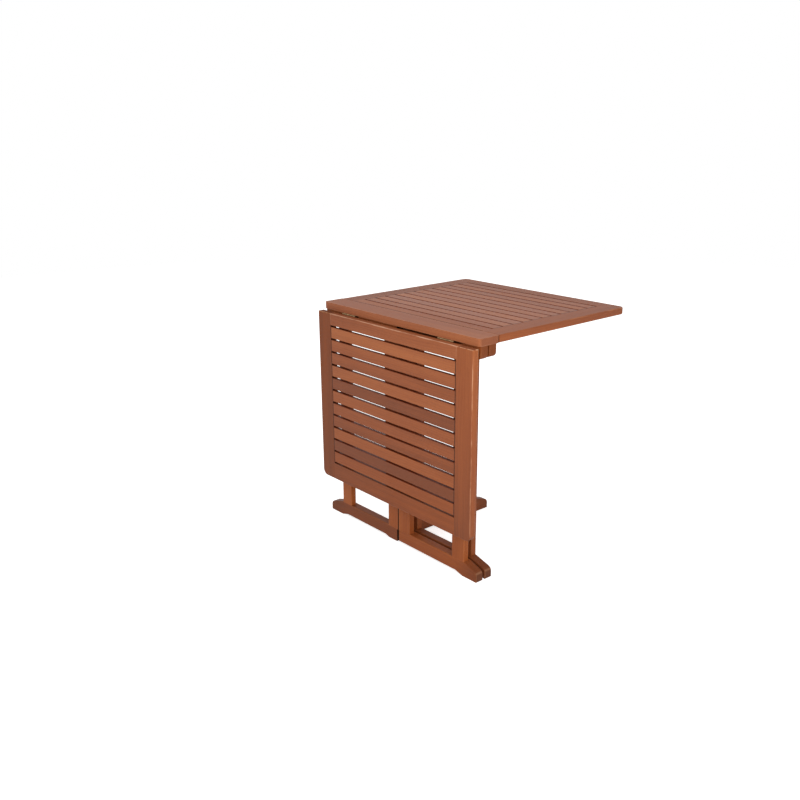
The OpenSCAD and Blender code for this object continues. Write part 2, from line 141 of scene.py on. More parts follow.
# Tones of the timbers that differ from the plain one; the high ones of the front frame's outer upright
# and the front gate's hinge upright are painted light, where too little light reaches their faces
TIMBER_TONES = {
    "centre_board": 0.35,
    "front_leaf_left_stile": -0.75,
    "front_leaf_right_stile": -0.15,
    "front_leaf_inner_rail": 0.15,
    "front_leaf_outer_rail": -0.35,
    "rear_leaf_left_stile": -0.45,
    "rear_leaf_right_stile": 0.05,
    "rear_leaf_inner_rail": 0.25,
    "rear_leaf_outer_rail": -0.2,
    "front_frame_foot_rail": -0.7,
    "front_frame_outer_upright": 0.85,
    "front_frame_inner_upright": 0.25,
    "front_gate_foot_rail": 0.35,
    "front_gate_outer_upright": 0.35,
    "front_gate_hinge_upright": 0.45,
    "rear_frame_foot_rail": -0.5,
    "rear_frame_top_rail": -0.3,
    "rear_frame_outer_upright": -0.2,
    "rear_gate_foot_rail": -0.2,
}

# How warm or pale a timber is: 1 is as warm as on the base, from fresh oiling and painted warm light,
# mostly low on the table; 0 is ordinary; below 0 it is paler, from sun bleaching and painted sheen on
# the raised leaf
TIMBER_OIL_AND_LIGHT = {
    "front_leaf_left_stile": 0.9,
    "front_leaf_right_stile": 0.4,
    "front_leaf_outer_rail": 0.7,
    "rear_leaf_right_stile": 0.4,
    "rear_leaf_outer_rail": 0.3,
    "centre_board": -0.03,
}
SLAT_OIL_AND_LIGHT = {
    "front": (0, 0, 0, 0, 0, 0.1, 0.1, 0.2, 0.3, 0.1, 0.5),
    "rear": (-0.12, -0.15, -0.25, -0.12, -0.2, -0.12, -0.2, -0.1, -0.15, -0.05, -0.12),
}


def linear(code):
    """A colour given as six hexadecimal digits, turned into linear light."""
    levels = [int(code[i:i + 2], 16) / 255 for i in (0, 2, 4)]
    return [v / 12.92 if v <= 0.04045 else ((v + 0.055) / 1.055) ** 2.4 for v in levels]


def number(name, description, default, **options):
    """A number of nought or more."""
    return FloatProperty(name=name, description=description, default=default, min=0.0, **options)


def metres(name, description, default):
    """A length that shows in the scene's own unit."""
    return number(name, description, default, precision=4, subtype="DISTANCE", unit="LENGTH")


def degrees(name, description, default):
    """An angle, given in degrees."""
    return FloatProperty(name=name, description=description, default=math.radians(default),
                         subtype="ANGLE", unit="ROTATION")


def tint(name, description, code):
    """A colour that a user can pick."""
    return FloatVectorProperty(name=name, description=description, default=linear(code),
                               size=3, min=0.0, max=1.0, subtype="COLOR")


class TimberSettings(bpy.types.PropertyGroup):
    """Sizes and colours that all the timbers share."""

    easing: metres("Easing", "Width of the eased arrises", 0.002)
    board_easing: metres("Board Easing", "Width of the rounded arrises of the board", 0.005)
    leaf_easing: metres("Leaf Easing", "Width of the eased outer arrises of a leaf", 0.0035)
    inner_share: number("Inner Share", "Share of that width on the arrises inside a leaf", 0.3, max=1.0)
    slat_easing: metres("Slat Easing", "Width of the eased arrises of the slats", 0.0007)
    board_corner: metres("Board Corner", "Corner radius of the centre board", 0.010)
    inner_corner: metres("Inner Corner", "Radius of its corners beside the raised leaf", 0.004)
    leaf_corner: metres("Leaf Corner", "Radius of the outer corners of a leaf", 0.020)
    deep: tint("Deep Tone", "Darkest timber", "79442C")
    middle: tint("Middle Tone", "Ordinary timber", "945333")
    light: tint("Light Tone", "Lightest timber", "A8633C")
    # Also the painted shade at the slats' ends, along a leaf's joints with its slats and along the
    # raised leaf's hinge edge
    pore_and_shade: tint("Pores", "Open pores and the dirt in joints", "3A1E14")
    seam: tint("Seam", "Shaded faces in the seams of the base", "1E0E08")
    end_grain: tint("End Grain", "Ends of the timbers", "623E33")
    stained: tint("Stained End", "Feet darkened by damp near their ends", "5F3424")
    # Painted shade along the gaps beside the slats
    gap_shade: tint("Gap Dirt", "Dirt along the gaps beside the slats", "6A2A14")
    # Pale arrises: real wear, and painted highlights along a leaf's edges
    worn_and_lit: tint("Worn Arris", "Arrises rubbed pale", "C9977A")
    # Warm tint: fresh oiling on the base, and painted warm light, mostly low on the table
    fresh_oil_and_warm_light: tint("Fresh Oil", "Tint of fresh oil, as on the frames and gates", "F2E1BA")
    # Paleness: sun bleaching, and painted sheen on the raised leaf and on the feet's tips
    bleached: tint("Bleached", "Timber that the sun has bleached", "B58A7C")
    ring_spacing: metres("Ring Spacing", "Distance between growth rings", 0.006)
    wear_width: metres("Wear Width", "How far the wear reaches from an arris", 0.003)


class BaseSettings(bpy.types.PropertyGroup):
    """Shapes of the feet and rails of the frames and gates."""

    pad_height: metres("Pad Height", "How far the pads stand out", 0.008)
    pad_length: metres("Pad Length", "Length of the flat of a pad", 0.058)
    pad_ramp: metres("Pad Ramp", "Length of the ramp from a rail to its pad", 0.030)
    ramp_radius: metres("Ramp Radius", "Rounding at both ends of a ramp", 0.016)
    nose_height: metres("Nose Height", "Height of the tip of a foot", 0.030)
    nose_radius: metres("Nose Radius", "Rounding on top of the tip of a foot", 0.016)
    edge_radius: metres("Edge Radius", "Rounding under the tip of a foot", 0.003)
    slope_radius: metres("Slope Radius", "Rounding where a foot starts to slope", 0.020)
    rail_end_radius: metres("Rail End Radius", "Rounding under a top rail's end", 0.014)
    inner_pad_length: metres("Inner Pad", "Pad at the inner end of a fixed foot", 0.042)
    inner_pad_height: metres("Inner Pad Height", "Depth of that pad", 0.005)
    notch_depth: metres("Notch Depth", "Notch in a top rail under a hinge", 0.006)
    notch_length: metres("Notch Length", "Length of that notch", 0.078)
    recess_radius: metres("Recess Radius", "Recess round a gate hinge", 0.0033)


class HingeSettings(bpy.types.PropertyGroup):
    """Screws and colours of the brass hinges."""

    leaf_hinge_x: metres("Hinge Place", "Leaf hinges from the middle", 0.219)
    leaf_hinge_length: metres("Hinge Length", "Length of a leaf hinge", 0.064)
    gate_hinge_length: metres("Gate Hinge Length", "Length of a gate hinge", 0.060)
    gate_hinge_inset: metres("Gate Hinge Inset", "Gate hinges from the rails", 0.100)
    knuckle_radius: metres("Knuckle Radius", "Radius of the knuckles", 0.003)
    plate_width: metres("Plate Width", "Width of a leaf hinge's plates", 0.022)
    plate_thickness: metres("Plate Thickness", "Thickness of these plates", 0.0015)
    knuckle_gap: metres("Knuckle Gap", "Gap between knuckles", 0.0004)
    screws: IntProperty(name="Screws", description="Screws in each plate", default=3, min=1)
    screw_radius: metres("Screw Radius", "Radius of the shanks", 0.0016)
    screw_head: metres("Screw Head", "Radius of the countersunk heads", 0.003)
    screw_length: metres("Screw Length", "Length of the screws", 0.015)
    slot_width: metres("Slot Width", "Width of the screwdriver slot", 0.0007)
    brass: tint("Brass", "Polished brass", "B8976E")
    tarnish: tint("Tarnish", "Dull film on the brass", "5E452E")


class StageSettings(bpy.types.PropertyGroup):
    """Floor, lights and camera."""

    floor_radius: metres("Floor Radius", "Radius of the floor", 6.0)
    floor_glow: number("Floor Glow", "Light added where the floor itself is seen", 0.66)
    world_level: number("World Level", "Strength of the soft light from all sides", 0.66)
    key_power: number("Key Power", "Power of the large lamp at the right", 38.0, unit="POWER")
    fill_power: number("Fill Power", "Power of the lamp at the left", 11.0, unit="POWER")
    overhead_power: number("Overhead Power", "Power of the lamp over the table", 8.0, unit="POWER")
    camera_place: FloatVectorProperty(name="Camera Place", subtype="TRANSLATION", unit="LENGTH",
                                      default=(1.974294, -1.969015, 1.284782), precision=5,
                                      description="Where the camera stands")
    camera_azimuth: degrees("Camera Azimuth", "Direction to the camera, from the front to the right",
                            49.564)
    camera_elevation: degrees("Camera Elevation", "How steeply the camera looks down", 17.431)
    camera_roll: degrees("Camera Roll", "Tilt of the camera", -0.373)
    lens: number("Lens", "Focal length on a sensor 36 mm wide", 40.531, unit="CAMERA")


# Places: the part coordinates of the leaves, the fixed frames and the gates

joints = {joint["name"]: joint for joint in frame["joints"]}
front_hinge = Vector(joints["front_leaf_hinge"]["pos_m"])
rear_hinge = Vector(joints["rear_leaf_hinge"]["pos_m"])
rear_gate_pin = Vector(joints["rear_gate_hinge"]["pos_m"])
middle = Matrix.Translation((0, (front_hinge.y + rear_hinge.y) / 2, 0))
half_turn = Matrix.Rotation(math.pi, 4, "Z")


def axes(x, y, z):
    """A turn whose local X, Y and Z point along these three directions."""
    return Matrix((x, y, z)).transposed().to_4x4()


def about(point, turn):
    """A turn about a point."""
    return Matrix.Translation(point) @ turn @ Matrix.Translation(-point)


# A leaf's X runs along its hinge line, Y from there to its outer edge, Z up through its top face
LEAF_PLACES = {
    "front": Matrix.Translation(front_hinge) @ axes(-X_AXIS, -Z_AXIS, -Y_AXIS),
    "rear": Matrix.Translation(rear_hinge),
}

# A frame's X runs from the middle of the table to the foot, Y outwards from the other frame
FRAME_PLACES = {"front": middle @ half_turn, "rear": middle}
GATE_PLACES = {
    "front": middle @ half_turn,
    "rear": about(rear_gate_pin, Matrix.Rotation(-math.pi / 2, 4, "Z")) @ middle,
}

# Ways a timber lies in its part: its own X runs along its grain
LEAF_RAIL = axes(X_AXIS, Y_AXIS, Z_AXIS)
LEAF_STILE = axes(Y_AXIS, -X_AXIS, Z_AXIS)
FRAME_RAIL = axes(X_AXIS, Z_AXIS, -Y_AXIS)
GATE_RAIL = axes(-X_AXIS, Z_AXIS, Y_AXIS)
UPRIGHT = axes(Z_AXIS, X_AXIS, Y_AXIS)


def local_box(node, place):
    """Lowest and highest corners of a solid in the coordinates of a place."""
    first, second = (place.inverted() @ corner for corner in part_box(node))
    low = Vector(min(pair) for pair in zip(first, second))
    high = Vector(max(pair) for pair in zip(first, second))
    return low, high


# Outlines

def corner_arc(before, corner, after, radius):
    """Points of the arc that rounds one corner of an outline."""
    corner = Vector(corner)
    back = (Vector(before) - corner).normalized()
    ahead = (Vector(after) - corner).normalized()
    half = back.angle(ahead) / 2
    centre = corner + (back + ahead).normalized() * radius / math.sin(half)
    start = corner + back * radius / math.tan(half) - centre
    end = corner + ahead * radius / math.tan(half) - centre
    turn = math.atan2(start.x * end.y - start.y * end.x, start.dot(end))
    return [centre + Matrix.Rotation(turn * i / CORNER_STEPS, 2) @ start
            for i in range(CORNER_STEPS + 1)]


def rounded(points, radii):
    """A closed outline whose corners are rounded, each to its own radius."""
    outline = []
    for i, radius in enumerate(radii):
        before, after = points[i - 1], points[(i + 1) % len(points)]
        if radius > 0:
            outline += corner_arc(before, points[i], after, radius)
        else:
            outline.append(Vector(points[i]))
    return outline


def rectangle(low, high, radii=(0, 0, 0, 0)):
    """A rectangle with its corners rounded, counted from the lowest one round to the left."""
    return rounded([(low.x, low.y), (high.x, low.y), (high.x, high.y), (low.x, high.y)], radii)


def foot_outline(sizes, low, high, slope_start, inner_pad):
    """Side outline of a foot rail, from its inner end to its nose."""
    pad_start = high.x - sizes.pad_length
    ramp_start = pad_start - sizes.pad_ramp
    points = [(low.x, sizes.pad_height)]
    radii = [0]
    if inner_pad:
        under = sizes.pad_height - sizes.inner_pad_height
        pad_end = low.x + sizes.inner_pad_length
        points = [(low.x, under), (pad_end, under),
                  (pad_end + sizes.pad_ramp / 2, sizes.pad_height)]
        radii = [sizes.edge_radius, sizes.ramp_radius, sizes.ramp_radius]
    points += [(ramp_start, sizes.pad_height), (pad_start, 0), (high.x, 0),
               (high.x, sizes.nose_height), (slope_start, high.y), (low.x, high.y)]
    radii += [sizes.ramp_radius, sizes.ramp_radius, sizes.edge_radius,
              sizes.nose_radius, sizes.slope_radius, 0]
    return rounded(points, radii)


def frame_top_outline(sizes, low, high):
    """Side outline of a fixed frame's top rail, rounded under its end."""
    return rectangle(low, high, (0, sizes.rail_end_radius, 0, 0))


def gate_top_outline(sizes, low, high):
    """Side outline of a gate's top rail, with the pad that carries the raised leaf."""
    rail_top = high.y + GATE_REST_CLEAR - sizes.pad_height
    pad_start = high.x - sizes.pad_length
    return rounded(
        [(low.x, low.y), (high.x, low.y), (high.x, high.y),
         (pad_start, high.y), (pad_start - sizes.pad_ramp, rail_top), (low.x, rail_top)],
        [0, sizes.rail_end_radius, 0, sizes.ramp_radius, sizes.ramp_radius, 0])


# Timbers

def new_object(name, data):
    """An object with this mesh, lamp or camera, in the scene."""
    piece = bpy.data.objects.new(name, data)
    bpy.context.scene.collection.objects.link(piece)
    return piece


def mesh_of(shape, name):
    """The drawn shape as a mesh."""
    mesh = bpy.data.meshes.new(name)
    shape.to_mesh(mesh)
    shape.free()
    return mesh


def add_prism(shape, outline, low, high):
    """Adds an outline in X and Y, drawn between two heights, as a closed prism."""
    lower = [shape.verts.new((p.x, p.y, low)) for p in outline]
    upper = [shape.verts.new((p.x, p.y, high)) for p in outline]
    shape.faces.new(lower)
    shape.faces.new(upper)
    for i in range(len(outline)):
        j = (i + 1) % len(outline)
        shape.faces.new((lower[i], lower[j], upper[j], upper[i]))
    bmesh.ops.recalc_face_normals(shape, faces=shape.faces)


def ease_arrises(piece, width, weighed=False):
    """Rounds the sharp edges over and leaves the flat faces flat."""
    bevel = piece.modifiers.new("Eased arrises", "BEVEL")
    bevel.width = width
    bevel.segments = 4
    bevel.limit_method = "WEIGHT" if weighed else "ANGLE"
    bevel.angle_limit = SHARP_ANGLE
    bevel.harden_normals = True


def weigh_arrises(shape, lie, weigh):
    """Gives each sharp edge its share of the easing, by its place in the part."""
    layer = shape.edges.layers.float.new("bevel_weight_edge")
    for edge in shape.edges:
        if edge.calc_face_angle(0.0) > SHARP_ANGLE:
            first, second = edge.verts
            edge[layer] = weigh(lie @ ((first.co + second.co) / 2))


def settle(piece):
    """Turns the piece and its modifiers into one plain mesh."""
    depsgraph = bpy.context.evaluated_depsgraph_get()
    mesh = bpy.data.meshes.new_from_object(piece.evaluated_get(depsgraph))
    mesh.name = piece.name
    piece.modifiers.clear()
    piece.data = mesh
    return mesh


def store(mesh, name, values, kind="FLOAT", domain="POINT"):
    """Keeps values on the mesh for the materials to read."""
    field = "vector" if kind == "FLOAT_VECTOR" else "value"
    mesh.attributes.new(name, kind, domain).data.foreach_set(field, values)


def mark_timber(mesh, place, low, high, marks):
    """Stores where each point lies in its timber, the timber's size, and its other marks."""
    inverse = place.inverted()
    turned = inverse.to_3x3()
    centre = (low + high) / 2
    points = [inverse @ vertex.co - centre for vertex in mesh.vertices]
    ends = [abs((turned @ face.normal).x) for face in mesh.polygons]
    store(mesh, "timber_at", [c for p in points for c in p], "FLOAT_VECTOR")
    store(mesh, "timber_half", list((high - low) / 2) * len(points), "FLOAT_VECTOR")
    store(mesh, "timber_end", ends, domain="FACE")
    for label, values in marks.items():
        store(mesh, f"timber_{label}", values)


def make_cutter(blocks, rods):
    """A passing object with the blocks and upright rods that are cut out of a timber."""
    shape = bmesh.new()
    for low, high in blocks:
        add_prism(shape, rectangle(low, high), low.z, high.z)
    for foot, radius, height in rods:
        turn = Matrix.Translation(foot + Z_AXIS * height / 2)
        bmesh.ops.create_cone(shape, cap_ends=True, segments=32, radius1=radius,
                              radius2=radius, depth=height, matrix=turn)
    return new_object("cutter", mesh_of(shape, "cutter"))


def make_timber(name, body, slot, outline, low, high, part_place, lie, blocks=(), rods=(),
                easing=None, weigh=None, rubbed=lambda p: PLAIN_WEAR, to_painted_shade=None,
                lighter=lambda p: 0.0):
    """One timber: its outline between two depths, in its own coordinates, then put in place."""
    place = part_place @ lie
    shape = bmesh.new()
    add_prism(shape, outline, low.z, high.z)
    if weigh:
        weigh_arrises(shape, lie, weigh)
    shape.transform(place)
    mesh = mesh_of(shape, name)
    for face in mesh.polygons:
        face.use_smooth = True
    piece = new_object(f"{name}_timber", mesh)
    cutter = make_cutter(blocks, rods) if blocks or rods else None
    if cutter:
        cutter.data.transform(part_place)
        cut = piece.modifiers.new("Recesses", "BOOLEAN")
        cut.operation = "DIFFERENCE"
        cut.object = cutter
    ease_arrises(piece, easing or bpy.context.scene.table_timber.easing, weigh is not None)
    mesh = settle(piece)
    if cutter:
        bpy.data.objects.remove(cutter)
    inverse = part_place.inverted()
    spots = [inverse @ vertex.co for vertex in mesh.vertices]
    reach = max(abs(p.x) for p in spots)
    tone = TIMBER_TONES.get(name, 0.0)
    oil = TIMBER_OIL_AND_LIGHT.get(name, 1.0 if slot == "frame_timber" else 0.0)
    # Tone with painted light added, pale arrises with painted highlights, and the distance to painted
    # shade
    mark_timber(mesh, place, low, high, {
        "seed": [seed_of(name)] * len(spots),
        "oil": [oil] * len(spots),
        "tone": [tone + lighter(p) for p in spots],
        "rubbed": [rubbed(p) for p in spots],
        "to_painted_shade": [to_painted_shade(p) for p in spots] if to_painted_shade else seam_distances(spots),
        "stain": [abs(p.x) / reach if "foot" in name else 0.0 for p in spots]})
    mesh.materials.clear()
    mesh.materials.append(timber_material(slot))
    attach(piece, body)
    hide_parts(name)


def make_bar(name, body, slot, part_place, lie, ends=None, **manner):
    """A timber with a rectangular outline, as long as its solid unless its ends are given."""
    low, high = local_box(name, part_place @ lie)
    if ends:
        low.x, high.x = ends
    make_timber(name, body, slot, rectangle(low, high), low, high, part_place, lie, **manner)


def seam_distances(spots):
    """How far each point of a timber is from the face at the seam of a gate, where painted shade goes,
    or a metre.
    """
    inner = min(min(p.x for p in spots), max(p.x for p in spots), key=abs)
    return [abs(p.x - inner) if abs(inner) < SEAM_REACH else 1.0 for p in spots]


def seed_of(name):
    """A number of its own for each timber, the same each time."""
    return sum(ord(letter) * (i + 3) for i, letter in enumerate(name)) % 97 / 7


def make_base_part(part, body, place, lie, at_seam, top_outline):
    """A fixed frame or a gate: its rails, its outer upright and the one at the seam."""
    sizes = bpy.context.scene.table_base
    fixed = body == "base"
    slope_start = max(abs(end.y) for end in local_box(f"{part}_outer_upright", place @ UPRIGHT))
    foot_low, foot_high = local_box(f"{part}_foot_rail", place @ lie)
    top_low, top_high = local_box(f"{part}_top_rail", place @ lie)
    make_timber(f"{part}_foot_rail", body, "frame_timber",
                foot_outline(sizes, foot_low, foot_high, slope_start, fixed),
                foot_low, foot_high, place, lie)
    make_timber(f"{part}_top_rail", body, "frame_timber", top_outline(sizes, top_low, top_high),
                top_low, top_high, place, lie,
                blocks=[hinge_notch(sizes, place, top_high.y)] if fixed else ())
    rods = gate_hinge_rods(sizes.recess_radius, foot_high.y, top_low.y)
    let_in = UPRIGHT_LET_IN * bpy.context.scene.table_timber.easing
    for name in ("outer", at_seam):
        make_bar(f"{part}_{name}_upright", body, "frame_timber", place, UPRIGHT,
                 (foot_high.y - let_in, top_low.y + let_in), rods=rods if name == at_seam else ())


def hinge_notch(sizes, place, rail_top):
    """Room for a leaf hinge in a fixed top rail, in the frame's coordinates."""
    hinges = bpy.context.scene.table_hinges
    hinge_y = abs((place.inverted() @ rear_hinge).y)
    low = Vector((hinges.leaf_hinge_x - sizes.notch_length / 2,
                  hinge_y - hinges.plate_width - NOTCH_PLAY, rail_top - sizes.notch_depth))
    high = Vector((hinges.leaf_hinge_x + sizes.notch_length / 2, hinge_y, rail_top + NOTCH_PLAY))
    return low, high


def gate_hinge_rods(radius, foot_top, rail_bottom):
    """Room for the two gate hinges of a seam: foot, radius and height of each rod."""
    hinges = bpy.context.scene.table_hinges
    pin = FRAME_PLACES["rear"].inverted() @ rear_gate_pin
    clear = radius - hinges.knuckle_radius
    starts = (foot_top + hinges.gate_hinge_inset,
              rail_bottom - hinges.gate_hinge_inset - hinges.gate_hinge_length)
    return [(Vector((pin.x, pin.y, start - clear)), radius, hinges.gate_hinge_length + 2 * clear)
            for start in starts]


# Node trees

class NodeBench:
    """Adds nodes to one tree and joins their sockets."""

    def __init__(self, tree):
        self.tree = tree

    def feed(self, socket, value):
        """Links a socket to the value, or sets it."""
        if isinstance(value, bpy.types.NodeSocket):
            self.tree.links.new(value, socket)
        else:
            socket.default_value = value

    def add(self, kind, sockets=None, **settings):
        """A node with its settings, and values or links for its sockets."""
        node = self.tree.nodes.new(kind)
        for name, value in settings.items():
            setattr(node, name, value)
        for name, value in (sockets or {}).items():
            self.feed(node.inputs[name], value)
        return node

    def make(self, kind, sockets=None, **settings):
        """The first output of a new node."""
        return self.add(kind, sockets, **settings).outputs[0]

    def math(self, operation, first, second=0.0, third=0.0, clamp=False):
        """A sum, product or the like of up to three values."""
        return self.make("ShaderNodeMath", {0: first, 1: second, 2: third},
                         operation=operation, use_clamp=clamp)

    def times(self, first, second, clamp=False):
        """The product of two values."""
        return self.math("MULTIPLY", first, second, clamp=clamp)

    def times_plus(self, first, second, third):
        """The product of two values, added to a third."""
        return self.math("MULTIPLY_ADD", first, second, third)

    def vector(self, operation, first, second=(0, 0, 0)):
        """A sum or product of two vectors."""
        return self.make("ShaderNodeVectorMath", {0: first, 1: second}, operation=operation)

    def scale(self, vector, factor):
        """A vector times a number."""
        return self.make("ShaderNodeVectorMath", {0: vector, "Scale": factor}, operation="SCALE")

    def noise(self, vector, stretch=None, detail=2.0, roughness=0.5):
        """Noise over a vector, which can first be stretched along each axis."""
        place = self.vector("MULTIPLY", vector, stretch) if stretch else vector
        return self.make("ShaderNodeTexNoise", {"Vector": place, "Scale": 1.0, "Detail": detail,
                                                "Roughness": roughness})

    def step(self, value, low, high, to_low=0.0, to_high=1.0):
        """A smooth step of a value from one level to another."""
        return self.make("ShaderNodeMapRange",
                         {"Value": value, "From Min": low, "From Max": high,
                          "To Min": to_low, "To Max": to_high}, interpolation_type="SMOOTHSTEP")

    def mix(self, factor, first, second, blend="MIX"):
        """A mix of two colours, each a link or a plain colour."""
        first, second = (colour if isinstance(colour, bpy.types.NodeSocket) else (*colour, 1.0)
                         for colour in (first, second))
        return self.add("ShaderNodeMix", {0: factor, 6: first, 7: second},
                        data_type="RGBA", blend_type=blend).outputs[2]

    def mark(self, name, output="Fac"):
        """One of the marks that a timber keeps on its mesh."""
        return self.add("ShaderNodeAttribute", attribute_name=f"timber_{name}").outputs[output]

    def group(self, name, build, sockets):
        """The outputs of a shader group, which is built when it is first asked for."""
        tree = bpy.data.node_groups.get(name) or build(name)
        return self.add("ShaderNodeGroup", sockets, node_tree=tree).outputs


def open_tree(name, kind, inputs, outputs):
    """A new node tree with named sockets: its bench and its inputs."""
    tree = bpy.data.node_groups.new(name, kind)
    for in_out, labels in (("INPUT", inputs), ("OUTPUT", outputs)):
        for label in labels:
            socket = f"NodeSocket{SOCKET_KINDS.get(label, 'Float')}"
            tree.interface.new_socket(label, in_out=in_out, socket_type=socket)
    bench = NodeBench(tree)
    return bench, bench.add("NodeGroupInput").outputs


# In these groups a noise is stretched by its waves to the metre, along the grain and across it

def build_hardwood(name):
    """Ribbons, growth rings, fibres and pores of a straight-grained hardwood."""
    bench, given = open_tree(name, "ShaderNodeTree", ("Position", "Seed", "Ring Spacing"),
                             ("Figure", "Bands", "Fibre", "Pores"))
    place = bench.vector("ADD", given["Position"], bench.scale((0.71, 0.43, 0.29), given["Seed"]))
    ribbons = bench.noise(place, (2.4, 60, 60), 3.0, 0.55)
    sway = bench.noise(place, (3.5, 18, 18))
    dashes = bench.noise(place, (130, 2300, 2300), 1.0)
    from_pith = bench.vector("ADD", given["Position"], (0, 0.075, 0.05))
    across = bench.vector("MULTIPLY", from_pith, (0, 1, 1))
    radius = bench.add("ShaderNodeVectorMath", {0: across}, operation="LENGTH").outputs["Value"]
    rings = bench.times_plus(sway, 5.0, bench.math("DIVIDE", radius, given["Ring Spacing"]))
    rings = bench.times_plus(bench.math("SINE", bench.times(rings, math.tau)), 0.5, 0.5)
    figure = bench.times_plus(rings, 0.22, bench.times(ribbons, 0.85))
    bench.add("NodeGroupOutput", {
        "Figure": bench.step(figure, 0.28, 0.78), "Bands": bench.noise(place, (1.5, 34, 34), 1.0),
        "Fibre": bench.noise(place, (10, 480, 480), 3.0, 0.6), "Pores": bench.step(dashes, 0.60, 0.72)})
    return bench.tree


def build_arris_wear(name):
    """Wear along the arrises of a squared timber, from the distance to its nearest edge."""
    bench, given = open_tree(name, "ShaderNodeTree", ("Position", "Half Size", "Width", "Seed"),
                             ("Wear", "Sides", "Ends", "Near End"))
    inward = bench.vector("SUBTRACT", given["Half Size"], bench.vector("ABSOLUTE", given["Position"]))
    depth = bench.add("ShaderNodeSeparateXYZ", {"Vector": inward}).outputs
    lesser = bench.math("MINIMUM", depth["X"], depth["Y"])
    greater = bench.math("MAXIMUM", depth["X"], depth["Y"])
    edge = bench.math("MAXIMUM", lesser, bench.math("MINIMUM", greater, depth["Z"]))
    stretched = bench.vector("MULTIPLY", given["Position"], (14, 60, 60))
    shift = bench.scale((3.1, 1.7, 2.3), given["Seed"])
    patches = bench.noise(bench.vector("ADD", stretched, shift), detail=3.0, roughness=0.6)
    reach = bench.times(given["Width"], bench.step(patches, 0.3, 0.7, 0.35, 1.3))
    near = bench.math("SUBTRACT", 1.0, bench.math("DIVIDE", edge, reach), clamp=True)
    bench.add("NodeGroupOutput", {
        "Wear": bench.times(near, bench.step(patches, 0.25, 0.65, 0.3, 1.0)),
        # Sides and Ends mark a slat's faces beside its gaps and at its ends, where painted shade goes
        "Sides": bench.step(depth["Y"], 0.0, 0.0016, 1.0, 0.0),
        "Ends": bench.step(depth["X"], 0.0012, 0.0036, 1.0, 0.0),
        "Near End": bench.step(depth["X"], 0.0, 0.12, 1.0, 0.0)})
    return bench.tree


def build_grime(name):
    """Faint blotches of weather and dust, a hand's width across."""
    bench, given = open_tree(name, "ShaderNodeTree", ("Position", "Seed"), ("Blotches",))
    place = bench.vector("ADD", given["Position"], bench.scale((1.3, 2.9, 0.7), given["Seed"]))
    broad = bench.noise(place, (7, 16, 16), 4.0, 0.6)
    bench.add("NodeGroupOutput", {"Blotches": bench.step(broad, 0.35, 0.7)})
    return bench.tree


def new_material(name):
    """A new material, with its bench and its shader."""
    material = bpy.data.materials.new(name)
    material.use_nodes = True
    return material, NodeBench(material.node_tree), material.node_tree.nodes["Principled BSDF"]


def finish_surface(bench, shader, colour, rough, height, strength, distance):
    """Gives a shader its colour, its roughness, and relief from a height."""
    bump = bench.add("ShaderNodeBump", {"Height": height, "Strength": strength, "Distance": distance})
    bench.feed(shader.inputs["Base Color"], colour)
    bench.feed(shader.inputs["Roughness"], rough)
    bench.feed(shader.inputs["Normal"], bump.outputs["Normal"])


